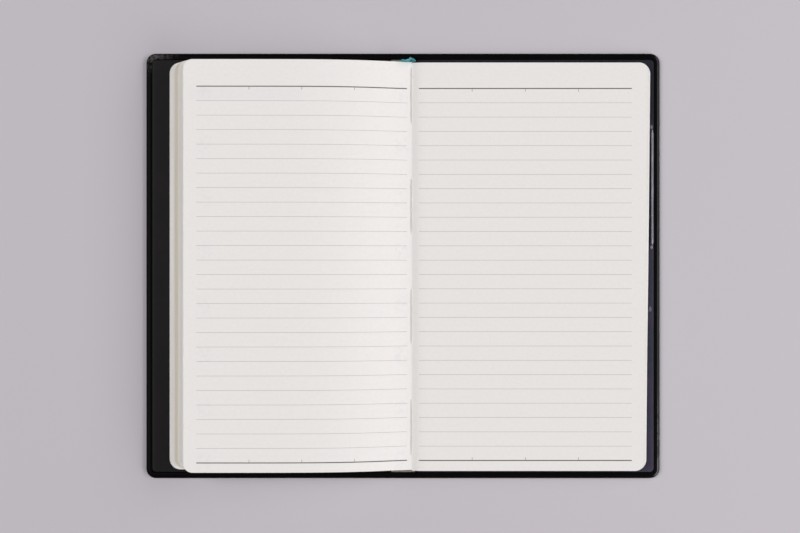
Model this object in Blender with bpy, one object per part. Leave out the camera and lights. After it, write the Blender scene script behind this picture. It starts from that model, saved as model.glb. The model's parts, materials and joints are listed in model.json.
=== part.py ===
"""A pocket notebook lying open near its end, seven sections over on the left and one on the right.

Frame: +X runs across the spread to the right, +Y runs to the head of the pages, +Z is up.
The origin is under the middle of the spine, on the surface that the cover lies on.

The case is one soft cover in three panels: front, spine and back. The spine panel lies still and
each cover folds up through 90 degrees on its own side of it. The sewn block is split where its
paper bends: the folds stay on the spine, and the pages on each side turn with their cover.
"""

import bmesh
import bpy
from math import cos, exp, pi, radians, sin, sqrt

MM = 0.001

# The case
CASE_LENGTH = 150.2 * MM
CASE_HALF_WIDTH = 90.8 * MM
CASE_CORNER = 3.4 * MM
SPINE_HALF_WIDTH = 5.0 * MM
HINGE_GAP = 0.15 * MM
SKIN_THICKNESS = 0.45 * MM
RIM_TOP = 1.5 * MM
RIM_WIDTH = 2.3 * MM
BOARD_LOW = 0.5 * MM
BOARD_TOP = 1.15 * MM
LINING_LOW = 1.2 * MM
LINING_TOP = 1.42 * MM
BOARD_SETBACK = 2.0 * MM

# The pages
PAGE_LENGTH = 143.5 * MM
PAGE_CORNER = 3.8 * MM
FOLD_X = 3.15 * MM
FOLD_Z = 2.85 * MM
FLYLEAF_LOW = 1.55 * MM
FLYLEAF_TOP = 1.7 * MM
SECTION_BASE = 1.76 * MM
SECTION_GAP_SHARE = 0.0045
LEFT_RISE = 5.53 * MM
RIGHT_SURFACE = 3.4 * MM
RIBBON_SPACE = 0.45 * MM
LEAF_THICKNESS = 0.2 * MM

# Left pages: where the lowest and the topmost sheet end, and the slope that the folds end on
LEFT_LOW_EDGE = -82.0 * MM
LEFT_TOP_EDGE = -76.2 * MM
LEFT_ROOTS = [(-4.9 * MM, 0.0), (-2.0 * MM, 0.0), (-0.1 * MM, 1.0 * MM)]
LEFT_LEAF_ROOT = 0.1 * MM
LEFT_SECTIONS = 6

# Right pages
RIGHT_STATIONS = [6.8 * MM, 7.8 * MM, 9.5 * MM, 40.0 * MM]
RIGHT_SECTION_GAP = 0.05 * MM
RIGHT_EDGE = 86.4 * MM
RIGHT_EDGE_SKEW = 0.0105
RIGHT_SHIFT = -0.28 * MM

# Sewing, ribbon and the clip band
STITCH_PITCH = 19.45 * MM
THREAD_RADIUS = 0.17 * MM
RIBBON_WIDTH = 3.0 * MM
RIBBON_THICKNESS = 0.2 * MM
BAND_LOW_Y = 7.6 * MM
BAND_LENGTH = 40.4 * MM
BAND_WIDTH = 1.5 * MM
BAND_THICKNESS = 0.4 * MM
BAND_AXIS = (88.5 * MM, 1.75 * MM)
BAND_LEAN = radians(42)
TACK_SPAN = (87.15 * MM, 88.1 * MM)
TACK_LENGTH = 1.4 * MM

for old in list(bpy.data.objects):
    bpy.data.objects.remove(old, do_unlink=True)


# ---------------------------------------------------------------- materials and helpers


def finish(name, colour, roughness, metallic=0.0):
    """A Principled material in one colour."""
    material = bpy.data.materials.new(name)
    material.use_nodes = True
    shader = material.node_tree.nodes["Principled BSDF"]
    shader.inputs["Base Color"].default_value = (*colour, 1.0)
    shader.inputs["Roughness"].default_value = roughness
    shader.inputs["Metallic"].default_value = metallic
    return material


LEATHERETTE = finish("black_leatherette", (0.012, 0.012, 0.014), 0.45)
LINING = finish("charcoal_lining", (0.03, 0.03, 0.033), 0.6)
GREYBOARD = finish("greyboard", (0.32, 0.30, 0.27), 0.9)
PAPER = finish("cream_paper", (0.80, 0.78, 0.74), 0.85)
CLOTH = finish("spine_cloth", (0.75, 0.73, 0.68), 0.95)
THREAD = finish("linen_thread", (0.85, 0.84, 0.80), 0.7)
SATIN = finish("teal_satin", (0.02, 0.25, 0.36), 0.35)


def add_object(name, mesh, material, origin=(0.0, 0.0, 0.0)):
    """Link a mesh as an object whose own origin is at origin, with its faces turned outwards."""
    work = bmesh.new()
    work.from_mesh(mesh)
    bmesh.ops.recalc_face_normals(work, faces=work.faces)
    bmesh.ops.translate(work, verts=work.verts, vec=[-c for c in origin])
    work.to_mesh(mesh)
    work.free()
    mesh.materials.append(material)
    piece = bpy.data.objects.new(name, mesh)
    piece.location = origin
    bpy.context.collection.objects.link(piece)
    return piece


def loft(name, rings, material, origin=(0.0, 0.0, 0.0)):
    """Skin a run of closed rings that have the same number of points, and cap both ends."""
    count = len(rings[0])
    points = [point for ring in rings for point in ring]
    faces = [list(range(count)), list(range(len(points) - count, len(points)))]
    for ring in range(len(rings) - 1):
        for here in range(count):
            there = (here + 1) % count
            low = ring * count
            faces.append([low + here, low + there, low + count + there, low + count + here])
    mesh = bpy.data.meshes.new(name)
    mesh.from_pydata(points, [], faces)
    return add_object(name, mesh, material, origin)


def plate(name, outline, low, top, material):
    """An upright prism on a plan outline."""
    rings = [[(x, y, z) for x, y in outline] for z in (low, top)]
    return loft(name, rings, material)


def panel_outline(inner, outer, length, corner, steps=6):
    """A panel in plan with square corners at x = inner and round corners at x = outer."""
    side = 1 if outer > inner else -1
    points = [(inner, -length / 2)]
    for end in (-1, 1):
        for step in range(steps + 1):
            turn = step / steps * pi / 2
            if end < 0:
                across, along = sin(turn), cos(turn)
            else:
                across, along = cos(turn), sin(turn)
            x = outer - side * corner * (1 - across)
            y = end * (length / 2 - corner * (1 - along))
            points.append((x, y))
    points.append((inner, length / 2))
    return points


def cut_away(piece, outline, low, top):
    """Cut a prism out of a piece and keep the result as its mesh."""
    cutter = plate("cutter", outline, low, top, LINING)
    cutter.hide_render = True
    cutter.display_type = "WIRE"
    cut = piece.modifiers.new("hollow", "BOOLEAN")
    cut.operation = "DIFFERENCE"
    cut.solver = "EXACT"
    cut.object = cutter
    bpy.context.view_layer.update()
    evaluated = piece.evaluated_get(bpy.context.evaluated_depsgraph_get())
    mesh = bpy.data.meshes.new_from_object(evaluated)
    piece.modifiers.clear()
    piece.data = mesh
    bpy.data.objects.remove(cutter, do_unlink=True)


# ---------------------------------------------------------------- the case


def cover(side, prefix):
    """One cover: a skin whose edges turn in over the board, the board in it and its lining."""
    inner = side * (SPINE_HALF_WIDTH + HINGE_GAP)
    outer = side * CASE_HALF_WIDTH
    outline = panel_outline(inner, outer, CASE_LENGTH, CASE_CORNER)
    skin = plate(prefix + "_cover_skin", outline, 0.0, RIM_TOP, LEATHERETTE)
    tray_corner = CASE_CORNER - RIM_WIDTH / 2
    tray = panel_outline(
        inner - side * MM, outer - side * RIM_WIDTH, CASE_LENGTH - 2 * RIM_WIDTH, tray_corner
    )
    cut_away(skin, tray, SKIN_THICKNESS, RIM_TOP + MM)
    fit = 0.08 * MM
    board = panel_outline(
        inner + side * BOARD_SETBACK,
        outer - side * (RIM_WIDTH + fit),
        CASE_LENGTH - 2 * (RIM_WIDTH + fit),
        tray_corner,
    )
    plate(prefix + "_board", board, BOARD_LOW, BOARD_TOP, GREYBOARD)
    lining = panel_outline(
        inner,
        outer - side * (RIM_WIDTH + fit),
        CASE_LENGTH - 2 * (RIM_WIDTH + fit),
        tray_corner,
    )
    plate(prefix + "_pastedown", lining, LINING_LOW, LINING_TOP, LINING)


def spine_strip(name, half_width, length, low, top, material):
    """A flat strip of the spine."""
    outline = [
        (-half_width, -length / 2),
        (half_width, -length / 2),
        (half_width, length / 2),
        (-half_width, length / 2),
    ]
    plate(name, outline, low, top, material)


cover(-1, "front")
cover(1, "back")
spine_strip("spine_skin", SPINE_HALF_WIDTH - HINGE_GAP, CASE_LENGTH, 0.0, SKIN_THICKNESS, LEATHERETTE)
spine_strip("spine_stiffener", 4.2 * MM, CASE_LENGTH - 2 * RIM_WIDTH, 0.5 * MM, 0.95 * MM, GREYBOARD)
spine_strip("spine_cloth", 4.6 * MM, PAGE_LENGTH - 8 * MM, 1.0 * MM, 1.2 * MM, CLOTH)


# ---------------------------------------------------------------- the shape of the open pages


def left_surface(x):
    """Height of the left page: low in the gutter, then a quick rise to the level stack."""
    away = max(FOLD_X - x, 0.0)
    return RIGHT_SURFACE + LEFT_RISE * (1 - 1.11 * exp(-((away / (17.5 * MM)) ** 1.45)))


def right_surface(x):
    """Height of the right page: level but for a short dip at the fold."""
    away = max(x - FOLD_X, 0.0)
    return RIGHT_SURFACE - 0.6 * MM * exp(-((away / (1.8 * MM)) ** 1.5))


def root_point(share):
    """Where a sheet starts, for its share of the way from the lowest fold to the topmost."""
    runs = []
    for (x0, z0), (x1, z1) in zip(LEFT_ROOTS, LEFT_ROOTS[1:]):
        runs.append((x0, z0, x1, z1, sqrt((x1 - x0) ** 2 + (z1 - z0) ** 2)))
    walked = share * sum(run[4] for run in runs)
    for x0, z0, x1, z1, length in runs[:-1]:
        if walked <= length:
            part = walked / length
            return x0 + (x1 - x0) * part, SECTION_BASE + z0 + (z1 - z0) * part
        walked -= length
    x0, z0, x1, z1, length = runs[-1]
    part = min(walked / length, 1.0)
    return x0 + (x1 - x0) * part, SECTION_BASE + z0 + (z1 - z0) * part


def root_at(x):
    """The share and the height of the fold that lies at x, or the base where there is none."""
    if x <= LEFT_ROOTS[0][0]:
        return 0.0, SECTION_BASE
    low, high = 0.0, 1.0
    for _ in range(40):
        middle = (low + high) / 2
        if root_point(middle)[0] < x:
            low = middle
        else:
            high = middle
    return low, root_point(low)[1]


def left_layer(share, x):
    """Height at x of the sheet that lies at this share of the left stack."""
    first, base = root_at(x)
    if share <= first:
        return base
    top = left_surface(x) - LEAF_THICKNESS - RIBBON_SPACE
    return base + (top - base) * (share - first) / (1 - first)


def page_stations(shift=0.0, steps=4):
    """Positions along the page, with how far a round corner pulls in the edge at each."""
    half = PAGE_LENGTH / 2
    corner = []
    for step in range(steps + 1):
        turn = step / steps * pi / 2
        corner.append((half - PAGE_CORNER * (1 - cos(turn)), PAGE_CORNER * (1 - sin(turn))))
    low = [(-y, inset) for y, inset in corner]
    stations = low + [(0.0, 0.0)] + corner[::-1]
    return [(y + shift, inset) for y, inset in stations]


LEFT_STATIONS = [-66, -52, -40, -31, -24, -18, -13, -9.5, -7, -5.5]


def left_edge(share):
    """Where the sheet at this share of the left stack ends."""
    return LEFT_LOW_EDGE + (LEFT_TOP_EDGE - LEFT_LOW_EDGE) * share


def section_bounds():
    """The lower and upper share of each section of the left stack."""
    parts = LEFT_SECTIONS + 0.5
    bounds = []
    for number in range(LEFT_SECTIONS + 1):
        low = number / parts + (SECTION_GAP_SHARE if number else 0.0)
        high = (number + 1) / parts - SECTION_GAP_SHARE if number < LEFT_SECTIONS else 1.0
        bounds.append((low, high))
    return bounds


def left_stations():
    """Positions across the left stack: a few in the level part, then every fold."""
    roots = [root_point(share)[0] for bound in section_bounds() for share in bound]
    return [x * MM for x in LEFT_STATIONS] + sorted(roots)


def left_section(name, low, high):
    """A folded section of the left stack between two shares of it."""
    low_root = root_point(low)
    high_root = root_point(high)
    step = 0.01 * MM
    rings = []
    for y, inset in page_stations():
        under = [left_edge(low) + inset]
        under += [x for x in left_stations() if x < low_root[0] - step]
        over = [left_edge(high) + inset]
        over += [x for x in left_stations() if x < high_root[0] - step]
        ring = [(x, y, left_layer(low, x)) for x in under]
        ring.append((low_root[0], y, low_root[1]))
        bends = [x for x, _ in LEFT_ROOTS[1:-1] if low_root[0] + step < x < high_root[0] - step]
        ring += [(x, y, SECTION_BASE) for x in bends]
        ring.append((high_root[0], y, high_root[1]))
        ring += [(x, y, left_layer(high, x)) for x in reversed(over)]
        rings.append(ring)
    loft(name, rings, PAPER)


def sheet(name, xs, edge, surface, low, top, origin=(0.0, 0.0, 0.0), shift=0.0):
    """One leaf from its root to its fore-edge, lying at low to top below a surface."""
    rings = []
    for y, inset in page_stations(shift):
        run = list(xs) + [edge(y, inset)]
        ring = [(x, y, surface(x) + low) for x in run]
        ring += [(x, y, surface(x) + top) for x in reversed(run)]
        rings.append(ring)
    loft(name, rings, PAPER, origin)


def flat(height):
    return lambda x: height


def left_block():
    """The free endpaper and the sections that lie on the front cover."""
    thickness = FLYLEAF_TOP - FLYLEAF_LOW
    sheet(
        "front_flyleaf",
        [-5.2 * MM],
        lambda y, inset: LEFT_LOW_EDGE - 0.3 * MM + inset,
        flat(FLYLEAF_TOP),
        -thickness,
        0.0,
    )
    bounds = section_bounds()
    for number in range(LEFT_SECTIONS):
        left_section("section_%d" % (number + 1), *bounds[number])
    left_section("section_7_left", *bounds[LEFT_SECTIONS])
    sheet(
        "left_leaf",
        [LEFT_LEAF_ROOT] + left_stations()[-2::-1],
        lambda y, inset: LEFT_TOP_EDGE + inset,
        left_surface,
        -LEAF_THICKNESS,
        0.0,
        (FOLD_X, 0.0, FOLD_Z),
    )


def right_edge(y, inset):
    return RIGHT_EDGE + RIGHT_EDGE_SKEW * y - inset


def right_layer(share, x):
    """Height at x of the sheet that lies at this share of the right stack."""
    top = right_surface(x) - LEAF_THICKNESS - 2 * RIGHT_SECTION_GAP
    return SECTION_BASE + (top - SECTION_BASE) * share


def right_section(name, low, high):
    """A folded section, or half of one, of the right stack between two shares of it."""
    rings = []
    for y, inset in page_stations(RIGHT_SHIFT):
        run = RIGHT_STATIONS + [right_edge(y, inset)]
        ring = [(x, y, right_layer(low, x)) for x in run]
        ring += [(x, y, right_layer(high, x)) for x in reversed(run)]
        rings.append(ring)
    loft(name, rings, PAPER)


def right_block():
    """The sections that lie on the back cover and the free endpaper under them."""
    thickness = FLYLEAF_TOP - FLYLEAF_LOW
    sheet(
        "back_flyleaf",
        RIGHT_STATIONS,
        right_edge,
        flat(FLYLEAF_TOP),
        -thickness,
        0.0,
        shift=RIGHT_SHIFT,
    )
    right_section("section_8", 0.0, 0.64)
    right_section("section_7_right", 0.69, 1.0)
    sheet(
        "right_leaf",
        RIGHT_STATIONS,
        right_edge,
        right_surface,
        -LEAF_THICKNESS,
        0.0,
        (FOLD_X, 0.0, FOLD_Z),
        RIGHT_SHIFT,
    )


left_block()
right_block()


# ---------------------------------------------------------------- the sewn folds in the gutter


def gutter_folds():
    """The backs of sections 5 to 8, glued to the spine cloth, with the open fold on top."""
    low = 1.3 * MM
    outline = [(-1.2, low / MM), (-0.5, 1.9), (0.3, 2.55), (0.75, 3.1)]
    for x in (0.9, 1.7, 2.4, 2.9):
        outline.append((x, left_surface(x * MM) / MM - 0.05))
    for x in (3.4, 3.8, 4.2):
        outline.append((x, right_surface(x * MM) / MM - 0.05))
    outline.append((4.2, low / MM))
    half = PAGE_LENGTH / 2 - 0.1 * MM
    rings = [[(x * MM, y, z * MM) for x, z in outline] for y in (-half, half)]
    loft("gutter_folds", rings, PAPER)


def sewing_thread():
    """The four stitches that show in the open fold, each the outer run of one thread."""
    sides = 6
    height = right_surface(2.9 * MM) + THREAD_RADIUS + 0.03 * MM
    for stitch in range(4):
        middle = (stitch - 1.5) * 2 * STITCH_PITCH + 1.6 * MM
        rings = []
        for y in (middle - STITCH_PITCH / 2, middle + STITCH_PITCH / 2):
            turns = [side / sides * 2 * pi for side in range(sides)]
            rings.append(
                [
                    (FOLD_X + THREAD_RADIUS * cos(turn), y, height + THREAD_RADIUS * sin(turn))
                    for turn in turns
                ]
            )
        loft("stitch_%d" % (stitch + 1), rings, THREAD)


gutter_folds()
sewing_thread()


# ---------------------------------------------------------------- the ribbon marker


def smooth_route(points, pieces):
    """Points along a Catmull-Rom curve through the route's own points."""
    route = []
    padded = [points[0]] + points + [points[-1]]
    for start in range(1, len(padded) - 2):
        before, here, there, after = padded[start - 1 : start + 3]
        for piece in range(pieces):
            t = piece / pieces
            point = []
            for b, h, n, a in zip(before, here, there, after):
                value = 2 * h + (n - b) * t + (2 * b - 5 * h + 4 * n - a) * t * t
                value += (3 * h - b - 3 * n + a) * t * t * t
                point.append(value / 2)
            route.append(tuple(point))
    route.append(tuple(points[-1]))
    return route


def ribbon_layer(x):
    """Middle of the space that the ribbon lies in, under the left leaf."""
    return left_surface(x) - LEAF_THICKNESS - RIBBON_SPACE / 2


def ribbon_root():
    """The end glued to the spine: up behind the head, then along it to the left, facing the head."""
    head = PAGE_LENGTH / 2
    route = smooth_route(
        [
            (3.2 * MM, head + 0.4 * MM, 1.9 * MM),
            (3.1 * MM, head + 0.7 * MM, 3.0 * MM),
            (2.5 * MM, head + 1.0 * MM, 4.0 * MM),
            (1.3 * MM, head + 0.6 * MM, 4.1 * MM),
            (-1.4 * MM, head + 0.5 * MM, 3.9 * MM),
        ],
        3,
    )
    half = RIBBON_WIDTH / 2 * 0.8
    drop = RIBBON_THICKNESS / 2
    rings = []
    for number, (x, y, z) in enumerate(route):
        ahead = route[min(number + 1, len(route) - 1)]
        behind = route[max(number - 1, 0)]
        run_x, run_z = ahead[0] - behind[0], ahead[2] - behind[2]
        length = sqrt(run_x ** 2 + run_z ** 2)
        side_x, side_z = -run_z / length * half, run_x / length * half
        ring = []
        for share, depth in ((-1, -drop), (1, -drop), (1, drop), (-1, drop)):
            ring.append((x + side_x * share, y + depth, z + side_z * share))
        rings.append(ring)
    loft("ribbon_root", rings, SATIN)


def ribbon_tail():
    """The length that lies on section 7, under the left leaf."""
    plan = smooth_route(
        [
            (-1.9, 71.8),
            (-2.8, 69.0),
            (-6.0, 60.0),
            (-14.0, 42.0),
            (-24.0, 20.0),
            (-30.0, -4.0),
            (-30.0, -28.0),
            (-27.0, -50.0),
            (-26.0, -68.0),
        ],
        6,
    )
    rings = []
    drop = RIBBON_THICKNESS / 2
    for number, (x, y) in enumerate(plan):
        ahead = plan[min(number + 1, len(plan) - 1)]
        behind = plan[max(number - 1, 0)]
        run = (ahead[0] - behind[0], ahead[1] - behind[1])
        length = sqrt(run[0] ** 2 + run[1] ** 2)
        side = (-run[1] / length * RIBBON_WIDTH / 2, run[0] / length * RIBBON_WIDTH / 2)
        under = []
        over = []
        for share in (-1.0, -0.5, 0.0, 0.5, 1.0):
            px = x * MM + side[0] * share
            py = y * MM + side[1] * share
            level = ribbon_layer(px)
            under.append((px, py, level - drop))
            over.append((px, py, level + drop))
        rings.append(under + over[::-1])
    loft("ribbon_tail", rings, SATIN)


ribbon_root()
ribbon_tail()


# ---------------------------------------------------------------- the clip band on the back cover


def clip_band():
    """A short band that leans in over its lower edge, and a tack that holds each end of it."""
    x0, z0 = BAND_AXIS
    rings = []
    for share, width in ((0.0, 0.5), (0.06, 1.0), (0.94, 1.0), (1.0, 0.5)):
        y = BAND_LOW_Y + BAND_LENGTH * share
        ring = []
        corners = (
            (0.12 * MM, -BAND_THICKNESS / 2),
            (BAND_WIDTH * width, -BAND_THICKNESS / 2),
            (BAND_WIDTH * width, BAND_THICKNESS / 2),
            (0.12 * MM, BAND_THICKNESS / 2),
        )
        for out, up in corners:
            ring.append(
                (
                    x0 - out * cos(BAND_LEAN) - up * sin(BAND_LEAN),
                    y,
                    z0 + out * sin(BAND_LEAN) - up * cos(BAND_LEAN),
                )
            )
        rings.append(ring)
    loft("clip_band", rings, LEATHERETTE, (x0, BAND_LOW_Y + BAND_LENGTH / 2, z0))
    ends = (("tail_tack", BAND_LOW_Y - 1.7 * MM), ("head_tack", BAND_LOW_Y + BAND_LENGTH + 0.3 * MM))
    for name, y in ends:
        low_x, high_x = TACK_SPAN
        outline = [(low_x, y), (high_x, y), (high_x, y + TACK_LENGTH), (low_x, y + TACK_LENGTH)]
        plate(name, outline, LINING_TOP + 0.05 * MM, LINING_TOP + 0.5 * MM, LEATHERETTE)


clip_band()
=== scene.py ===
import json
import random
from math import cos, exp, pi, radians, sin

import bmesh
import bpy
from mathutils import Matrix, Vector, noise


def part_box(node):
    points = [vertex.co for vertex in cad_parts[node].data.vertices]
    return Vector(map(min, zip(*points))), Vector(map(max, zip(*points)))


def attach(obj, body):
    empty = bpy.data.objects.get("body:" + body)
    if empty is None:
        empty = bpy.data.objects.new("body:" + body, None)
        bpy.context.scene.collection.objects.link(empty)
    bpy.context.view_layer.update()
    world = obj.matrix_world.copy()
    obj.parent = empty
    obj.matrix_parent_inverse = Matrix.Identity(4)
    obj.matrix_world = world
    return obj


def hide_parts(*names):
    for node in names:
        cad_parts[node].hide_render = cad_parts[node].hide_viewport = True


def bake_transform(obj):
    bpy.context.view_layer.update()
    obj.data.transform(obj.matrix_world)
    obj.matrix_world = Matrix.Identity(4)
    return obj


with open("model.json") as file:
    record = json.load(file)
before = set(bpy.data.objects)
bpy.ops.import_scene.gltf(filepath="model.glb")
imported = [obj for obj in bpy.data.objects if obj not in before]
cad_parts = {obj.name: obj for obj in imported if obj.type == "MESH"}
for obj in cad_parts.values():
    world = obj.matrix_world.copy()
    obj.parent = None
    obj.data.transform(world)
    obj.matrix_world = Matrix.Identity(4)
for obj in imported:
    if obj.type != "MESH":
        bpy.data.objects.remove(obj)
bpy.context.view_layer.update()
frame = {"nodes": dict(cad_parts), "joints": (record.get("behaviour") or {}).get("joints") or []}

# ---------------------------------------------------------------- the skin of the case
# One sheet of black leatherette wraps both covers and the spine, turned in over the boards all round in a
# soft bead. It is made in two halves that meet along the middle of the spine, where neither half moves.

MM = 0.001
cover_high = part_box("back_cover_skin")[1]
CASE_EDGE = cover_high.x / MM
CASE_END = cover_high.y / MM
CASE_CORNER = 3.4
SPINE_STATIONS = [0.0, 1.5, 2.8, 3.4, 4.0, 4.6, 5.2, 5.8, 6.4, 7.0, 8.5, 20.0, 45.0, 70.0]
# How far in from the case's edge, and how high, from the underside over the bead to the tray's floor
BEAD = [
    (1.6, 0.0), (0.5, 0.01), (0.14, 0.07), (0.0, 0.22), (0.05, 0.55), (0.19, 0.85), (0.42, 1.12),
    (0.73, 1.33), (1.1, 1.46), (1.5, 1.5), (1.85, 1.5), (2.12, 1.44), (2.21, 1.3), (2.26, 1.08),
    (2.3, 0.5),
]


class Value:
    """A number that varies over a surface. Python's operators add its Math nodes."""

    def __init__(self, finish, socket):
        self.finish = finish
        self.socket = socket

    def math(self, operation, *others):
        values = dict(enumerate((self,) + others))
        return self.finish.node("ShaderNodeMath", {"operation": operation}, values)

    def __add__(self, other):
        return self.math("ADD", other)

    def __mul__(self, other):
        return self.math("MULTIPLY", other)

    def __sub__(self, other):
        return self.math("SUBTRACT", other)

    def __truediv__(self, other):
        return self.math("DIVIDE", other)

    def __rsub__(self, other):
        return (self * -1.0) + other

    __radd__ = __add__
    __rmul__ = __mul__

    def __abs__(self):
        return self.math("ABSOLUTE")

    def ramp(self, low, high):
        """0 at low, 1 at high, smooth in between; high may be the lower number."""
        values = {"Value": self, "From Min": low, "From Max": high}
        return self.finish.node("ShaderNodeMapRange", {"interpolation_type": "SMOOTHSTEP"}, values)

    def within(self, low, high, soft):
        """1 between low and high, with soft ends."""
        return self.ramp(low - soft, low + soft) * self.ramp(high + soft, high - soft)


class Finish:
    """A material under way: a Principled shader and the nodes that feed it."""

    def __init__(self, name, constants):
        self.material = bpy.data.materials.new(name)
        self.material.use_nodes = True
        self.tree = self.material.node_tree
        self.shader = self.tree.nodes["Principled BSDF"]
        for name, value in constants.items():
            self.shader.inputs[name].default_value = value
        self.place = self.node("ShaderNodeAttribute", {"attribute_name": "place"}, {}, "Vector")

    def node(self, kind, settings, values, output=0):
        """Add a node: its settings first, then what goes into its sockets; gives one output."""
        made = self.tree.nodes.new(kind)
        for name, value in settings.items():
            setattr(made, name, value)
        for name, value in values.items():
            self.feed(made, name, value)
        return Value(self, made.outputs[output])

    def feed(self, node, name, value):
        if isinstance(value, Value):
            self.tree.links.new(value.socket, node.inputs[name])
        else:
            node.inputs[name].default_value = value

    def along(self, axis):
        """The place's x, y or z in millimetres at rest."""
        return self.node("ShaderNodeSeparateXYZ", {}, {0: self.place}, axis)

    def noise(self, scale, detail=3.0, stretch=(1.0, 1.0, 1.0)):
        """Soft noise; scale is in cells per millimetre."""
        place = self.node("ShaderNodeVectorMath", {"operation": "MULTIPLY"}, {0: self.place, 1: stretch})
        values = {"Vector": place, "Scale": scale, "Detail": detail}
        return self.node("ShaderNodeTexNoise", {}, values)

    def cells(self, scale):
        """Distance to the nearest pore of a grain."""
        values = {"Vector": self.place, "Scale": scale}
        return self.node("ShaderNodeTexVoronoi", {"feature": "SMOOTH_F1"}, values, "Distance")

    def mix(self, share, low, high):
        """A colour between two colours."""
        values = {0: share, 6: colour(low), 7: colour(high)}
        return self.node("ShaderNodeMix", {"data_type": "RGBA"}, values, 2)

    def paint(self, base, roughness=None):
        self.feed(self.shader, "Base Color", base)
        if roughness is not None:
            self.feed(self.shader, "Roughness", roughness)
        return self

    def bump(self, height, depth):
        """Raise the surface by up to depth millimetres where height is 1."""
        values = {"Strength": 1.0, "Distance": depth * MM, "Height": height}
        self.feed(self.shader, "Normal", self.node("ShaderNodeBump", {}, values))
        return self


def colour(value):
    """A colour for a socket: a link as it is, or red, green and blue with full alpha."""
    return value if isinstance(value, Value) else (*value, 1.0)


def mark_places(mesh):
    """Store where each point lies at rest, in millimetres, so that the finish bends with the piece."""
    places = mesh.attributes.new("place", "FLOAT_VECTOR", "POINT")
    flat = [c / MM for vertex in mesh.vertices for c in vertex.co]
    places.data.foreach_set("vector", flat)


def add_piece(name, points, faces, slot, *finishes, smooth=40.0):
    """Link a mesh, given in millimetres, as a piece with its faces turned outwards."""
    mesh = bpy.data.meshes.new(name)
    mesh.from_pydata([[c * MM for c in point] for point in points], [], faces)
    work = bmesh.new()
    work.from_mesh(mesh)
    bmesh.ops.recalc_face_normals(work, faces=work.faces)
    work.to_mesh(mesh)
    work.free()
    mesh.shade_smooth()
    mesh.set_sharp_from_angle(angle=radians(smooth))
    mark_places(mesh)
    for finish in finishes:
        mesh.materials.append(finish.material)
    piece = bpy.data.objects.new(name, mesh)
    bpy.context.scene.collection.objects.link(piece)
    return piece


def half_outline(side, edge, end, corner, inset, stations, arc=10):
    """Half of a round-cornered panel in plan, from its inner end at the tail round to the head."""
    radius = max(corner - inset, 0.35)
    middle_x = edge - inset - radius
    middle_y = end - inset - radius
    low = [(side * x, inset - end) for x in stations]
    for step in range(arc + 1):
        turn = step / arc * pi / 2
        low.append((side * (middle_x + radius * sin(turn)), -middle_y - radius * cos(turn)))
    low += [(side * (edge - inset), -middle_y * share) for share in (0.75, 0.5, 0.25)]
    return low + [(x, -y) for x, y in reversed(low)]


def panel_faces(count, rings):
    """Faces of a panel built from rings of half outlines: its sides, both of its flats and its inner end."""
    faces = []
    for ring in range(rings - 1):
        for here in range(count - 1):
            low = ring * count + here
            faces.append([low, low + 1, low + count + 1, low + count])
    last = (rings - 1) * count
    for base in (0, last):
        for here in range(count // 2 - 1):
            there = base + count - 1 - here
            faces.append([base + here, base + here + 1, there - 1, there])
    faces.append([0, count - 1, last + count - 1, last])
    faces.append([ring * count for ring in range(rings)])
    faces.append([ring * count + count - 1 for ring in range(rings)])
    return faces


def add_panel(name, rings, slot, finish):
    """A panel from rings of (outline, height)."""
    points = [(x, y, z) for outline, z in rings for x, y in outline]
    return add_piece(name, points, panel_faces(len(rings[0][0]), len(rings)), slot, finish)


def leatherette():
    """Dull black with a fine pressed grain. The front cover's head corner is worn grey, and the back
    cover's fore-edge bead is glossy, most of all towards the tail."""
    finish = Finish("black_leatherette", {"Specular IOR Level": 0.045, "Coat Roughness": 0.22})
    grain = finish.cells(2.6)
    patches = finish.noise(0.08, 4.0)
    from_edge = finish.along("X") + CASE_EDGE
    from_head = CASE_END - finish.along("Y")
    near_corner = (from_edge * 0.6 + from_head).ramp(9.0, 1.5)
    rubbed = near_corner * finish.noise(0.9, 5.0).ramp(0.40, 0.62) * finish.along("Z").ramp(0.5, 1.2)
    black = finish.mix(patches, (0.0018, 0.0016, 0.0018), (0.0035, 0.0030, 0.0034))
    finish.paint(finish.mix(rubbed, black, (0.10, 0.085, 0.085)), 0.42 + patches * 0.10 + rubbed * 0.3)
    fore_edge = finish.along("X").ramp(86.0, 88.5)
    towards_tail = finish.along("Y").ramp(-40.0, -66.0)
    polished = fore_edge * towards_tail * finish.noise(0.3).ramp(0.3, 0.6)
    finish.feed(finish.shader, "Coat Weight", fore_edge * 0.25 + polished * 0.6)
    return finish.bump(grain + finish.noise(1.2, 2.0) * 0.6, 0.016)


LEATHERETTE = leatherette()

for side, cover in ((-1, "front"), (1, "back")):
    rings = [
        (half_outline(side, CASE_EDGE, CASE_END, CASE_CORNER, inset, SPINE_STATIONS), height)
        for inset, height in BEAD
    ]
    skin = add_panel(cover + "_case_skin", rings, "leatherette", LEATHERETTE)
    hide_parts(cover + "_cover_skin")
    if side < 0:
        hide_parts("spine_skin")
    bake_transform(skin)


# ---------------------------------------------------------------- boards and spine stiffener
# Grey millboard, die-cut with square edges, is glued inside the skin of each cover and of the spine.
# Nothing of it shows once the lining is on, so the frame's own solids carry the finish.


def millboard():
    """Grey board pressed from waste paper, flecked with darker fibres."""
    finish = Finish("grey_millboard", {"Roughness": 0.95})
    fleck = finish.noise(1.5, 5.0).ramp(0.35, 0.7)
    finish.paint(finish.mix(fleck, (0.24, 0.225, 0.20), (0.36, 0.34, 0.31)))
    return finish.bump(finish.noise(3.0), 0.02)


MILLBOARD = millboard()


def dress_node(node, finish):
    """Give a solid of the frame a finish of this file."""
    solid = frame["nodes"][node]
    mark_places(solid.data)
    solid.data.materials.clear()
    solid.data.materials.append(finish.material)


for node in ("front_board", "back_board", "spine_stiffener"):
    dress_node(node, MILLBOARD)
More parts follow.
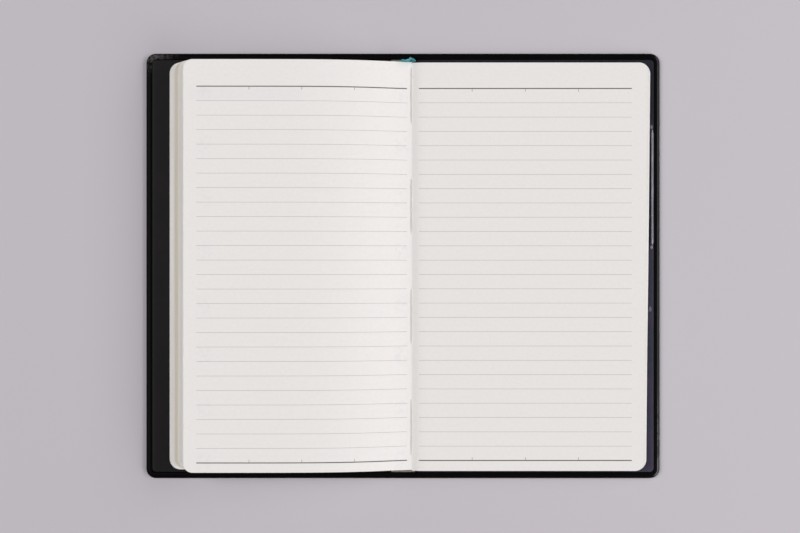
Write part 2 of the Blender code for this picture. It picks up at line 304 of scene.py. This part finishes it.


# ---------------------------------------------------------------- lining of the covers
# A dyed paper is pasted over each board and the turned-in skin, and stops just inside the bead. The front
# one is near black. The back one is smoother; its lighter bluish colour is a painted reflection, which
# gives way to painted shade towards the head.

lining_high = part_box("back_pastedown")[1]
LINING_EDGE = lining_high.x / MM
LINING_END = lining_high.y / MM
LINING_CORNER = 1.3
LINING_ARC = 6
LINING_STATIONS = [5.15, 6.0, 8.0, 20.0, 45.0, 70.0]
# Inset and height of the lining's own edge
LINING_PROFILE = [(0.1, 1.2), (0.0, 1.24), (0.0, 1.36), (0.1, 1.41), (0.35, 1.42)]


def lining(name, dark, light, roughness):
    """Dyed paper with a faint reddish mottling; the back one is darker towards the head, as painted shade.
    """
    finish = Finish(name, {"Specular IOR Level": 0.15})
    mottle = finish.noise(0.06, 4.0).ramp(0.40, 0.66)
    reddish = (dark[0] * 1.45, dark[1] * 1.05, dark[2] * 1.2)
    warm = finish.mix(mottle, dark, reddish)
    tone = finish.mix(finish.noise(0.5, 5.0).ramp(0.3, 0.8) * 0.4, warm, light)
    # Painted shade: the back lining darkens towards the head, where its painted reflection fades.
    head_painted_shade = finish.along("X").ramp(0.0, 5.0) * finish.along("Y").ramp(44.0, 54.0) * 0.7
    finish.paint(finish.mix(head_painted_shade, tone, (0.010, 0.010, 0.014)), roughness)
    return finish.bump(finish.noise(2.5, 4.0), 0.012)


# The back lining is the same paper as the front; its lighter bluish colours are a painted reflection.
LININGS = {
    "front": lining("front_lining_paper", (0.0078, 0.0070, 0.0078), (0.0110, 0.0102, 0.0118), 0.5),
    "back": lining("back_lining_paper_painted_reflection", (0.037, 0.039, 0.060), (0.056, 0.060, 0.086), 0.42),
}

for side, cover in ((-1, "front"), (1, "back")):
    rings = []
    for inset, height in LINING_PROFILE:
        plan = half_outline(side, LINING_EDGE, LINING_END, LINING_CORNER, inset, LINING_STATIONS, LINING_ARC)
        rings.append((plan, height))
    sheet = add_panel(cover + "_lining", rings, "lining", LININGS[cover])
    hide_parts(cover + "_pastedown")
    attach(sheet, cover + "_cover")


# ---------------------------------------------------------------- gauze on the spine
# A strip of open bookbinding gauze, soaked in glue that has dried stiff, is pasted down along the inside of
# the spine and holds the backs of the sections to it.


def gauze():
    """A coarse plain weave, filled with yellowish glue."""
    finish = Finish("glued_gauze", {"Roughness": 0.8})
    threads_per_mm = 1.6
    across = abs((finish.along("X") * threads_per_mm).math("FRACT") - 0.5)
    along = abs((finish.along("Y") * threads_per_mm).math("FRACT") - 0.5)
    thread = across.math("MINIMUM", along).ramp(0.18, 0.05)
    finish.paint(finish.mix(thread, (0.42, 0.37, 0.27), (0.74, 0.70, 0.62)))
    return finish.bump(thread, 0.08)


dress_node("spine_cloth", gauze())


# ---------------------------------------------------------------- paper
# Warm white writing paper. Every page has 27 rules about 5 mm apart: the first and the last are heavy,
# with small marks that quarter the line, and the others are light. A thin painted shade darkens the fold.
# The trimmed edges show each sheet as a fine line and are a little darker, in part from painted shade
# in the hollow between the fanned sections.

TOP_RULE = 62.35
RULE_PITCH = 5.027
RULE_COUNT = 27
LEFT_RULE = (-71.7, 1.4)
RIGHT_RULE = (5.6, 80.4)
FOLD_X = 3.15
PAPER_WHITE = (0.845, 0.81, 0.795)
LIGHT_INK = (0.45, 0.45, 0.44)
HEAVY_INK = (0.12, 0.12, 0.11)


def rule_masks(finish, margin):
    """Masks of the light rules and of the heavy rules with their marks, for one page."""
    x = finish.along("X")
    rows = (TOP_RULE - finish.along("Y")) / RULE_PITCH
    from_rule = abs((rows + 0.5).math("FRACT") - 0.5) * RULE_PITCH
    between = x.within(margin[0], margin[1], 0.03)
    light = from_rule.ramp(0.085, 0.045) * rows.within(0.5, RULE_COUNT - 1.5, 0.01) * between
    first = abs(rows) * RULE_PITCH
    last = abs(rows - (RULE_COUNT - 1)) * RULE_PITCH
    heavy = first.math("MINIMUM", last).ramp(0.205, 0.15) * between
    quarter = (margin[1] - margin[0]) / 4
    from_quarter = abs(((x - margin[0]) / quarter + 0.5).math("FRACT") - 0.5) * quarter
    inner = x.within(margin[0] + 1.0, margin[1] - 1.0, 0.1)
    mark_height = 0.22
    inside = rows.within(0.0, mark_height, 0.02)
    inside += rows.within(RULE_COUNT - 1 - mark_height, RULE_COUNT - 1, 0.02)
    marks = from_quarter.ramp(0.14, 0.08) * inner * inside * 0.6
    return light, heavy.math("MAXIMUM", marks)


def writing_paper(name, show_through):
    """Ruled paper; on a leaf with print on its back, faint bluish smudges show through."""
    finish = Finish(name, {"Roughness": 0.85, "Specular IOR Level": 0.2})
    fibre = finish.noise(0.9, 6.0)
    tone = finish.mix(fibre.ramp(0.3, 0.7), PAPER_WHITE, [c * 1.025 for c in PAPER_WHITE])
    if show_through:
        x = finish.along("X")
        y = finish.along("Y")
        blot_pitch = 18.3
        row = ((y + 3.0) / blot_pitch).math("FRACT")
        column = x.within(-3.0, 1.4, 0.6) + x.within(-71.5, -66.5, 0.8) * 0.7
        blots = column * row.within(0.3, 0.62, 0.1) * finish.noise(0.7, 2.0).ramp(0.46, 0.60)
        band = x.within(-74.5, -35.0, 1.5) * y.within(57.5, 62.0, 0.7)
        streaks = finish.noise(0.12, 1.0, (1.0, 3.0, 1.0)).ramp(0.45, 0.6) * x.within(-71, 0, 1.0)
        lines = (y / 2.5).math("FRACT").within(0.35, 0.65, 0.15) * streaks
        stain = blots * 0.085 + band * 0.035 + lines * 0.02
        tone = finish.mix(stain.math("MINIMUM", 1.0), tone, (0.30, 0.42, 0.62))
    # Painted shade: the paper is darkened in a thin line along the fold, where the crease's shade falls.
    crease = abs(finish.along("X") - FOLD_X).ramp(0.34, 0.12) * 0.05
    tone = finish.mix(crease, tone, (0.52, 0.50, 0.46))
    for margin in (LEFT_RULE, RIGHT_RULE):
        light, heavy = rule_masks(finish, margin)
        tone = finish.mix(light, tone, LIGHT_INK)
        tone = finish.mix(heavy, tone, HEAVY_INK)
    finish.paint(tone)
    return finish.bump(finish.noise(1.6, 5.0), 0.006)


def trimmed_edges():
    """The block's cut edges: a line for each sheet, darker bands at set heights, and a tan band of painted
    shade.
    """
    finish = Finish("trimmed_edges", {"Roughness": 0.9, "Specular IOR Level": 0.2})
    sheets = finish.noise(0.5, 4.0, (1.0, 0.03, 26.0))
    height = finish.along("Z")
    tone = finish.mix(sheets.ramp(0.35, 0.65), (0.86, 0.84, 0.82), (0.97, 0.95, 0.93))
    # The fan is darker at set heights; the tan band is painted shade where the hollow between sections
    # falls.
    tone = finish.mix(height.within(3.0, 8.4, 0.2) * 0.25, tone, (0.80, 0.76, 0.71))
    tone = finish.mix(height.within(4.6, 6.7, 0.3) * 0.85, tone, (0.77, 0.69, 0.59))
    tone = finish.mix(height.within(7.5, 8.3, 0.1) * 0.25, tone, (0.76, 0.72, 0.67))
    stain = finish.noise(0.05, 3.0).ramp(0.4, 0.7)
    finish.paint(finish.mix(stain * 0.15, tone, (0.80, 0.72, 0.60)))
    return finish.bump(sheets, 0.05)


LEFT_PAPER = writing_paper("ruled_paper_left", True)
RIGHT_PAPER = writing_paper("ruled_paper_right", False)
EDGES = trimmed_edges()


# ---------------------------------------------------------------- the sections
# Eight sections of folded sheets are sewn through their folds, which stand side by side on the spine. The
# book is open in the middle of section 7: what is before it bends over to the left and fans out towards
# the fore-edge, and the rest lies flat on the right.

PAGE_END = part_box("section_1")[1].y / MM
PAGE_CORNER = 3.8
# The right pages lie this much nearer to the tail
RIGHT_SHIFT = -0.28
RIGHT_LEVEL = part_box("right_leaf")[1].z / MM
LEFT_RISE = 5.53
GUTTER_REACH = 17.5
FIRST_FOLD_X = -4.9
FOLD_FLOOR = 1.45
STACK_FLOOR = 1.76
UNDER_LEAF = 0.26
SHEETS = 8
# A sheet's share of its layer, and how far the gap above it goes in from the edge
SHEET_SHARE = 0.86
NOTCH = 0.45
LEFT_STATIONS = [
    -68, -58, -50, -44, -39, -35, -31, -28, -25, -22.5, -20, -18, -16, -14, -12.2, -10.6, -9.2, -8,
    -7, -6.2, -5.4, -4.9, -4.2, -3.4, -2.6, -1.8, -1.0, -0.4, 0.2, 0.8, 1.3, 1.8, 2.2, 2.6, 2.9,
]
RIGHT_STATIONS = [70, 55, 40, 28, 20, 14, 11, 9.2, 8, 7, 6.2, 5.5, 5.0, 4.6, 4.2, 3.9, 3.6, 3.4]
random.seed(7)


def left_surface(x):
    """Height of the open left page."""
    away = max(FOLD_X - x, 0.0)
    return RIGHT_LEVEL + LEFT_RISE * (1 - 1.11 * exp(-((away / GUTTER_REACH) ** 1.45)))


def right_surface(x):
    """Height of the open right page."""
    away = max(x - FOLD_X, 0.0)
    return RIGHT_LEVEL - 0.6 * exp(-((away / 1.8) ** 1.5))


def left_fold(share):
    """Where the fold of the sheet at this share of the stack stands."""
    late = max(share - 0.7, 0.0) / 0.3
    return FIRST_FOLD_X + (FOLD_X - FIRST_FOLD_X) * share, FOLD_FLOOR + 1.0 * late * late


def left_layer(share, x):
    """Height at x of the sheet at this share of the left stack."""
    first = min(max((x - FIRST_FOLD_X) / (FOLD_X - FIRST_FOLD_X), 0.0), 0.999)
    base = left_fold(first)[1] if x > FIRST_FOLD_X else STACK_FLOOR
    top = left_surface(x) - UNDER_LEAF
    part = max(share - first, 0.0) / (1 - first)
    return base + (top - base) * part


def right_layer(share, x):
    """Height at x of the sheet at this share of the right stack."""
    top = right_surface(x) - UNDER_LEAF
    return STACK_FLOOR + (top - STACK_FLOOR) * share


def left_edge(share, y):
    """Fore-edge of the left stack, the same at every y: the fan opens in two unequal steps."""
    return -82.0 + 2.2 * min(share / 0.45, 1.0) + 3.6 * max((share - 0.45) / 0.55, 0.0) ** 1.3


def right_edge(share, y):
    """Fore-edge of the right stack, trimmed a little out of square."""
    return 86.4 + 0.0105 * y - 0.35 * share


def page_rows(corner=PAGE_CORNER, shift=0.0, steps=8):
    """Rows along the page, and how far a round corner draws in the edge at each."""
    rows = []
    for step in range(steps + 1):
        turn = step / steps * pi / 2
        rows.append((-PAGE_END + corner * (1 - cos(turn)), corner * (1 - sin(turn))))
    rows += [(y, 0.0) for y in (-64.0, -52.0, -35.0, -17.0)]
    rows += [(0.0, 0.0)] + [(-y, inset) for y, inset in reversed(rows)]
    return [(y + shift, inset) for y, inset in rows]


def tail_wear(share, x, y):
    """How far the lower sheets' tail corner at the left fore-edge has worn back."""
    outwards = min(max((-x - 62.0) / 12.0, 0.0), 1.0)
    tailwards = min(max((-y - 62.0) / 9.0, 0.0), 1.0)
    return (0.3 + 1.1 * share) * outwards * tailwards


def loft_faces(count, rings):
    """Faces of a closed tube: its two ends, then its sides ring by ring."""
    faces = [list(range(count)), list(range((rings - 1) * count, rings * count))]
    for ring in range(rings - 1):
        for here in range(count):
            there = (here + 1) % count
            low = ring * count
            faces.append([low + here, low + there, low + count + there, low + count + here])
    return faces


def add_section(name, low, high, side, layer, fold, stations, edge):
    """One section, or half of one, as a stack of sheets with a stepped fore-edge."""
    reach = sorted(stations, key=lambda x: -abs(x))
    offsets = [random.uniform(-0.16, 0.16) for _ in range(SHEETS)]
    waves = [random.uniform(0.0, 6.3) for _ in range(SHEETS)]
    rings = []
    for y, inset in page_rows(shift=RIGHT_SHIFT if side > 0 else 0.0):
        ring = []
        for share in (low, high):
            root_x, root_z = fold(share)
            outside = [x for x in reach if side * (x - root_x) > 0.05]
            run = [(x, y + tail_wear(share, x, y), layer(share, x)) for x in outside]
            run.append((root_x, y, root_z))
            ring.append(run)
        stepped = []
        for sheet in range(SHEETS):
            below = low + (high - low) * sheet / SHEETS
            above = low + (high - low) * (sheet + SHEET_SHARE) / SHEETS
            wave = 0.05 * sin(y / 17.0 + waves[sheet])
            x = edge((below + above) / 2, y) + offsets[sheet] + wave - side * inset
            worn = y + tail_wear(below, x, y)
            stepped.append((x, worn, layer(below, x)))
            stepped.append((x, worn, layer(above, x)))
            notch = x - side * NOTCH
            stepped.append((notch, worn, layer(above, notch)))
            if sheet < SHEETS - 1:
                after = low + (high - low) * (sheet + 1) / SHEETS
                stepped.append((notch, worn, layer(after, notch)))
        stepped.pop()
        rings.append(ring[0][::-1] + stepped + ring[1])
    count = len(rings[0])
    points = [point for ring in rings for point in ring]
    faces = loft_faces(count, len(rings))
    paper = LEFT_PAPER if side < 0 else RIGHT_PAPER
    piece = add_piece(name, points, faces, "paper", paper, EDGES, smooth=30.0)
    first_step = len(ring[0])
    last_step = count - len(ring[1])
    for number, polygon in enumerate(piece.data.polygons):
        place = (number - 2) % count
        if number < 2 or first_step - 1 <= place < last_step:
            polygon.material_index = 1
    return piece


# Six whole sections and half of the seventh share the left stack, with a small gap between them
WHOLE_SECTIONS = 6
SECTION_GAP = 0.004
# No section's bend would start further right than this, and each would be this wide; the values worked out
# from them are not used
LAST_BEND = 1.4
BEND_WIDTH = 1.0
for number in range(WHOLE_SECTIONS + 1):
    whole = number < WHOLE_SECTIONS
    low = number / (WHOLE_SECTIONS + 0.5) + (SECTION_GAP if number else 0.0)
    high = (number + 1) / (WHOLE_SECTIONS + 0.5) - SECTION_GAP if whole else 1.0
    node = "section_%d" % (number + 1) if whole else "section_7_left"
    section = add_section(
        node + "_sheets", low, high, -1, left_layer, left_fold, LEFT_STATIONS, left_edge
    )
    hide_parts(node)
    if number < 2:
        # The folds of these two stand where the cover's lining comes up, so they move with their pages
        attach(section, "left_block")
        continue
    start = min(left_fold(low)[0], LAST_BEND)
    end = start - BEND_WIDTH
    start * MM
    end * MM
    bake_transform(section)


def right_fold(share):
    """Folds on the right stand between the open fold and the end of the spine."""
    return 4.9 - 1.5 * share, FOLD_FLOOR + 0.15 + 1.0 * share


RIGHT_BEND = 4.3
for node, low, high in (("section_8", 0.0, 0.64), ("section_7_right", 0.66, 1.0)):
    section = add_section(
        node + "_sheets", low, high, 1, right_layer, right_fold, RIGHT_STATIONS, right_edge
    )
    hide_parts(node)
    end = RIGHT_BEND + BEND_WIDTH
    end * MM
    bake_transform(section)


# ---------------------------------------------------------------- leaves
# Single sheets: a free endpaper under each stack, and the middle sheet of section 7, which lies open.
# The middle sheet's fold stays in the gutter.


def add_sheet(name, xs, top, thickness, edge, finish, corner=PAGE_CORNER, shift=0.0):
    """A leaf from its inner end to its fore-edge, with round corners."""
    rings = []
    for y, inset in page_rows(corner, shift):
        run = list(xs)
        if edge is not None:
            run.append(edge(y, inset))
        over = [(x, y, top(x)) for x in run]
        under = [(x, y, top(x) - thickness) for x in reversed(run)]
        rings.append(over + under)
    points = [point for ring in rings for point in ring]
    return add_piece(name, points, loft_faces(len(rings[0]), len(rings)), "paper", finish, smooth=50.0)


flyleaf_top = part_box("front_flyleaf")[1].z / MM
FLYLEAF = 0.13
LEAF = 0.12
LEAF_CORNER = 3.1
# Where each facing leaf leaves the gutter and where its bend ends
LEFT_ROOT = 0.6
RIGHT_ROOT = 8.6
# The fore-edges, and how far the right leaf's lies inside the stack's
FLYLEAF_EDGE = -82.3
LEAF_EDGE = -76.2
LEAF_SETBACK = 0.55
# Half of the fold's own width, which stays on the spine
FOLD_HALF = 0.25
front_leaf = add_sheet(
    "front_endpaper",
    [-5.2, -20.0, -50.0],
    lambda x: flyleaf_top,
    FLYLEAF,
    lambda y, inset: FLYLEAF_EDGE + inset,
    LEFT_PAPER,
)
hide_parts("front_flyleaf")
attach(front_leaf, "left_block")
back_leaf = add_sheet(
    "back_endpaper",
    [5.2, 20.0, 50.0],
    lambda x: flyleaf_top,
    FLYLEAF,
    lambda y, inset: right_edge(0.0, y) - inset,
    RIGHT_PAPER,
    shift=RIGHT_SHIFT,
)
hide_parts("back_flyleaf")
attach(back_leaf, "right_block")

left_run = [x for x in reversed(LEFT_STATIONS) if x < LEFT_ROOT]
leaf = add_sheet(
    "left_open_leaf",
    [LEFT_ROOT] + left_run,
    left_surface,
    LEAF,
    lambda y, inset: LEAF_EDGE + inset,
    LEFT_PAPER,
    LEAF_CORNER,
)
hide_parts("left_leaf")
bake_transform(leaf)

right_run = [x for x in reversed(RIGHT_STATIONS) if x > RIGHT_ROOT]
leaf = add_sheet(
    "right_open_leaf",
    [RIGHT_ROOT] + right_run,
    right_surface,
    LEAF,
    lambda y, inset: right_edge(1.0, y) - LEAF_SETBACK - inset,
    RIGHT_PAPER,
    LEAF_CORNER,
    RIGHT_SHIFT,
)
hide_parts("right_leaf")
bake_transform(leaf)

GUTTER_LEFT = [x for x in reversed(LEFT_STATIONS) if x > LEFT_ROOT] + [LEFT_ROOT]
fold = add_sheet("open_fold_left", [FOLD_X] + GUTTER_LEFT, left_surface, LEAF, None, LEFT_PAPER)
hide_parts("gutter_folds")
start = FOLD_X - FOLD_HALF
start * MM
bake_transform(fold)
GUTTER_RIGHT = [x for x in reversed(RIGHT_STATIONS) if x < RIGHT_ROOT] + [RIGHT_ROOT]
fold = add_sheet(
    "open_fold_right", [FOLD_X] + GUTTER_RIGHT, right_surface, LEAF, None, RIGHT_PAPER, shift=RIGHT_SHIFT
)
start = FOLD_X + FOLD_HALF
start * MM
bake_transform(fold)


# ---------------------------------------------------------------- sewing thread
# Two-ply waxed linen, sewn in and out through the fold of each section. Four runs of it show in the open
# fold, between the holes of the sewing stations.


def linen():
    """Waxed linen with a slight sheen."""
    finish = Finish("waxed_linen", {"Roughness": 0.55, "Sheen Weight": 0.2})
    finish.paint(finish.mix(finish.noise(4.0), (0.84, 0.82, 0.77), (0.93, 0.91, 0.87)))
    return finish.bump(finish.noise(9.0), 0.02)


LINEN = linen()
# Radius of one ply, and the length of one turn of the twist
PLY = 0.085
TWIST = 1.1


def add_stitch(number):
    """One run of thread as two plies twisted round each other."""
    low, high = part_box("stitch_%d" % number)
    tail, head = low.y / MM, high.y / MM
    height = right_surface(FOLD_X) + PLY * 1.6
    sides, steps = 6, 90
    points, faces = [], []
    for ply in (0.0, pi):
        base = len(points)
        for step in range(steps + 1):
            share = step / steps
            y = tail + (head - tail) * share
            lean = ply + share * (head - tail) / TWIST * 2 * pi
            dip = 0.12 * (abs(2 * share - 1)) ** 12
            x0 = FOLD_X + PLY * cos(lean)
            z0 = height - dip + PLY * sin(lean)
            for turn in range(sides):
                angle = turn / sides * 2 * pi
                points.append((x0 + PLY * cos(angle), y, z0 + PLY * sin(angle)))
        faces += [[base + p for p in face] for face in loft_faces(sides, steps + 1)]
    stitch = add_piece("thread_run_%d" % number, points, faces, "thread", LINEN, smooth=60.0)
    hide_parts("stitch_%d" % number)
    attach(stitch, "spine")


for number in range(1, 5):
    add_stitch(number)


# ---------------------------------------------------------------- ribbon marker
# A 3 mm teal satin ribbon. It is glued to the spine behind the head of the block, stands up in a small
# peak, turns left along the head, goes in under the left leaf and lies there down to the tail.

RIBBON_WIDTH = 3.0
RIBBON = 0.13
# How far its middle lies below the open page, and how deep its visible end is creased
RIBBON_DEPTH = 0.195
RUMPLE = 0.22
# Places along the visible end, each with the direction of the ribbon's width there
RIBBON_HEAD = [
    ((3.0, 72.05, 1.9), (1.0, 0.0, 0.1)),
    ((3.2, 72.4, 3.0), (0.9, -0.2, 0.3)),
    ((3.25, 72.9, 3.9), (0.4, -0.4, 0.82)),
    ((2.3, 72.25, 3.7), (0.1, 0.16, 0.97)),
    ((0.9, 72.05, 3.5), (0.05, 0.12, 0.98)),
    ((-0.9, 72.0, 3.5), (0.3, 0.1, 0.9)),
]
RIBBON_TAIL = [
    (-2.2, 71.2), (-3.0, 69.0), (-6.0, 60.0), (-14.0, 42.0), (-24.0, 20.0), (-30.0, -4.0),
    (-30.0, -28.0), (-27.0, -50.0), (-26.0, -68.0),
]


def smooth_route(points, pieces):
    """Points along a Catmull-Rom curve through the route's own points."""
    route = []
    padded = [points[0]] + points + [points[-1]]
    for start in range(1, len(padded) - 2):
        before, here, there, after = padded[start - 1:start + 3]
        for piece in range(pieces):
            t = piece / pieces
            place = []
            for b, h, n, a in zip(before, here, there, after):
                value = 2 * h + (n - b) * t + (2 * b - 5 * h + 4 * n - a) * t * t
                value += (3 * h - b - 3 * n + a) * t * t * t
                place.append(value / 2)
            route.append(tuple(place))
    route.append(tuple(points[-1]))
    return route


def satin():
    """Fine crosswise ribs; the weave shines along its length."""
    finish = Finish("teal_satin", {"Anisotropic": 0.5, "Sheen Weight": 0.1})
    ribs = (finish.along("Y") * 6.0 + finish.along("Z") * 5.0).math("SINE")
    shade = finish.noise(0.8, 3.0)
    finish.paint(finish.mix(shade.ramp(0.35, 0.65), (0.018, 0.24, 0.30), (0.045, 0.42, 0.49)), 0.4)
    return finish.bump(ribs * 0.5 + finish.noise(3.0), 0.02)


def ribbon():
    """The whole marker as one strip."""
    places = [place for place, _ in RIBBON_HEAD]
    widths = [width for _, width in RIBBON_HEAD]
    for number, (x, y) in enumerate(RIBBON_TAIL):
        places.append((x, y, left_surface(x) - RIBBON_DEPTH))
        ahead = RIBBON_TAIL[min(number + 1, len(RIBBON_TAIL) - 1)]
        behind = RIBBON_TAIL[max(number - 1, 0)]
        run = Vector((ahead[0] - behind[0], ahead[1] - behind[1]))
        widths.append((-run.y / run.length, run.x / run.length, 0.0))
    pieces = 8
    route = smooth_route(places, pieces)
    turns = smooth_route(widths, pieces)
    across = 6
    under_leaf = (len(RIBBON_HEAD) + 0.5) * pieces
    rings = []
    for number, (place, turn) in enumerate(zip(route, turns)):
        middle = Vector(place)
        width = Vector(turn).normalized()
        run = Vector(route[min(number + 1, len(route) - 1)]) - Vector(route[max(number - 1, 0)])
        face = run.cross(width).normalized()
        over, under = [], []
        for step in range(across + 1):
            share = (step / across - 0.5) * RIBBON_WIDTH
            point = middle + width * share
            if number <= under_leaf:
                point += face * noise.noise(point * 1.3) * RUMPLE
            if number > under_leaf or point.y < PAGE_END + 0.1:
                point.z = left_surface(point.x) - RIBBON_DEPTH
            over.append(tuple(point + face * RIBBON / 2))
            under.append(tuple(point - face * RIBBON / 2))
        rings.append(over + under[::-1])
    points = [point for ring in rings for point in ring]
    strip = add_piece(
        "ribbon_marker", points, loft_faces(len(rings[0]), len(rings)), "ribbon", satin(), smooth=50.0
    )
    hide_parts("ribbon_root", "ribbon_tail")
    path = [[c * MM for c in place] for place in route]
    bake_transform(strip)


ribbon()


# ---------------------------------------------------------------- clip band
# A short strip of smooth leatherette leans in over the tray at the back cover's fore-edge. Each of its ends
# is drawn together and tacked down, which crumples it. A small dimple lies in the lining below it. The
# strip, its tacks and the dimple are coloured grey as a painted sheen on the black leatherette.

band_low, band_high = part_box("clip_band")
BAND_JOINT = next(joint for joint in frame["joints"] if joint["name"] == "rock_clip_band")
BAND_X = BAND_JOINT["pos_m"][0] / MM
BAND_Z = BAND_JOINT["pos_m"][2] / MM
BAND_WIDTH = 1.5
BAND_LEAN = radians(42)


def leatherette_painted_sheen():
    """The same leatherette without its grain, rubbed glossy; its lavender grey colour is a painted sheen."""
    gloss = {"Specular IOR Level": 0.6, "Coat Weight": 0.5, "Coat Roughness": 0.12}
    finish = Finish("leatherette_painted_sheen", gloss)
    # Painted sheen: the black leatherette is given a lavender grey colour for the light that it reflects.
    sheen = finish.noise(0.25, 4.0, (1.0, 0.4, 1.0))
    finish.paint(finish.mix(sheen.ramp(0.3, 0.7), (0.085, 0.080, 0.10), (0.14, 0.13, 0.165)), 0.3)
    return finish.bump(finish.noise(1.3, 5.0), 0.03)


SMOOTH_PAINTED_SHEEN = leatherette_painted_sheen()


def clip_band():
    """A lens-shaped strip that narrows and creases towards both ends."""
    steps, sides = 60, 14
    tail, head = band_low.y / MM, band_high.y / MM
    rings = []
    for step in range(steps + 1):
        share = step / steps
        y = tail + (head - tail) * share
        from_end = min(share, 1 - share) * (head - tail)
        full = min(1.0, 0.35 + from_end / 1.6)
        crease = max(0.0, 1 - from_end / 3.0)
        ring = []
        for turn in range(sides):
            angle = turn / sides * 2 * pi
            out = BAND_WIDTH * (0.54 + 0.44 * full * cos(angle))
            up = 0.19 * sin(angle) * (0.6 + 0.4 * full) + crease * 0.12 * sin(y * 7.0 + angle)
            up += 0.05 * noise.noise(Vector((out * 1.2, y * 0.35, 3.0)))
            x = BAND_X - out * cos(BAND_LEAN) - up * sin(BAND_LEAN)
            z = BAND_Z + out * sin(BAND_LEAN) - up * cos(BAND_LEAN)
            ring.append((x, y, z))
        rings.append(ring)
    points = [point for ring in rings for point in ring]
    faces = loft_faces(sides, steps + 1)
    band = add_piece("clip_band_strip", points, faces, "leatherette", SMOOTH_PAINTED_SHEEN, smooth=60.0)
    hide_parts("clip_band")
    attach(band, "clip_band")


clip_band()


def add_knot(name, node):
    """A crumpled tack: a low mound with sharp folds, coloured with the painted sheen."""
    low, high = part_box(node)
    middle = (low + high) / 2 / MM
    size = (high - low) / 2 / MM
    work = bmesh.new()
    bmesh.ops.create_icosphere(work, subdivisions=4, radius=1.0)
    points = []
    for vertex in work.verts:
        direction = vertex.co.copy()
        fold_depth = abs(noise.noise(direction * 1.9 + Vector((middle.y, 0.0, 0.0))))
        reach = 1.12 - 0.75 * fold_depth
        taller = (1.0, 1.0, 1.15)
        points.append([middle[i] + direction[i] * size[i] * reach * taller[i] for i in range(3)])
    faces = [[vertex.index for vertex in face.verts] for face in work.faces]
    work.free()
    knot = add_piece(name, points, faces, "leatherette", SMOOTH_PAINTED_SHEEN, smooth=60.0)
    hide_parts(node)
    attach(knot, "back_cover")


add_knot("tail_tack_knot", "tail_tack")
add_knot("head_tack_knot", "head_tack")


def dimple():
    """An oval dent with a raised lip, pressed into the lining; it takes the painted sheen, lighter than the
    lining.
    """
    steps = 28
    middle = (87.25, -15.2)
    half_width, half_length = 0.5, 0.95
    rings = []
    for reach, height in ((1.0, 1.40), (0.86, 1.50), (0.70, 1.52), (0.52, 1.46), (0.25, 1.425)):
        ring = []
        for step in range(steps):
            angle = step / steps * 2 * pi
            x = middle[0] + half_width * reach * cos(angle)
            y = middle[1] + half_length * reach * sin(angle)
            ring.append((x, y, height))
        rings.append(ring)
    points = [point for ring in rings for point in ring]
    dent = add_piece("lining_dimple", points, loft_faces(steps, len(rings)), "lining", SMOOTH_PAINTED_SHEEN, smooth=60.0)
    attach(dent, "back_cover")


dimple()


# ---------------------------------------------------------------- table, lights and camera
# The notebook lies on a plain pale table, painted a little paler on the right as painted light from the
# lamp on that side. A long soft light stands to the right of it, a weaker one to the left, and the camera
# looks straight down.

TABLE_HALF = 1.5


def table():
    """A square of painted board, its top level with the notebook's underside."""
    finish = Finish("pale_table", {"Roughness": 0.9})
    # Painted light: the table's colour grows lighter towards the right, where the window lamp stands.
    painted_light_rightwards = finish.along("X").ramp(-170.0, 170.0)
    finish.paint(finish.mix(painted_light_rightwards, (0.535, 0.502, 0.543), (0.590, 0.553, 0.596)))
    corners = [(-1, -1), (1, -1), (1, 1), (-1, 1)]
    mesh = bpy.data.meshes.new("table_top")
    mesh.from_pydata([(x * TABLE_HALF, y * TABLE_HALF, 0.0) for x, y in corners], [], [(0, 1, 2, 3)])
    mark_places(mesh)
    mesh.materials.append(finish.material)
    top = bpy.data.objects.new("table_top", mesh)
    bpy.context.scene.collection.objects.link(top)


def soft_light(name, place, size, power):
    """A rectangular lamp that faces the notebook; its place and size are in metres."""
    lamp = bpy.data.lights.new(name, "AREA")
    lamp.shape = "RECTANGLE"
    lamp.size = size[0]
    lamp.size_y = size[1]
    lamp.energy = power
    holder = bpy.data.objects.new(name, lamp)
    holder.location = place
    holder.rotation_euler = (-Vector(place)).to_track_quat("-Z", "Y").to_euler()
    bpy.context.scene.collection.objects.link(holder)


table()
soft_light("window", (1.45, -0.1, 0.75), (3.4, 0.8), 42.0)
soft_light("reflector", (-0.9, 0.1, 1.0), (1.2, 1.0), 13.5)

ROOM_COLOUR = (0.96, 0.95, 1.0, 1.0)
ROOM_STRENGTH = 0.03
world = bpy.data.worlds.new("studio")
world.use_nodes = True
world.node_tree.nodes["Background"].inputs["Color"].default_value = ROOM_COLOUR
world.node_tree.nodes["Background"].inputs["Strength"].default_value = ROOM_STRENGTH
bpy.context.scene.world = world
bpy.context.scene.view_settings.view_transform = "Standard"

CAMERA_PLACE = (-1.05 * MM, -0.2 * MM, 433.4 * MM)
FIELD_OF_VIEW = radians(36.2)
lens = bpy.data.cameras.new("camera")
lens.sensor_width = 36.0
lens.angle = FIELD_OF_VIEW
camera = bpy.data.objects.new("camera", lens)
camera.location = CAMERA_PLACE
bpy.context.scene.collection.objects.link(camera)
bpy.context.scene.camera = camera
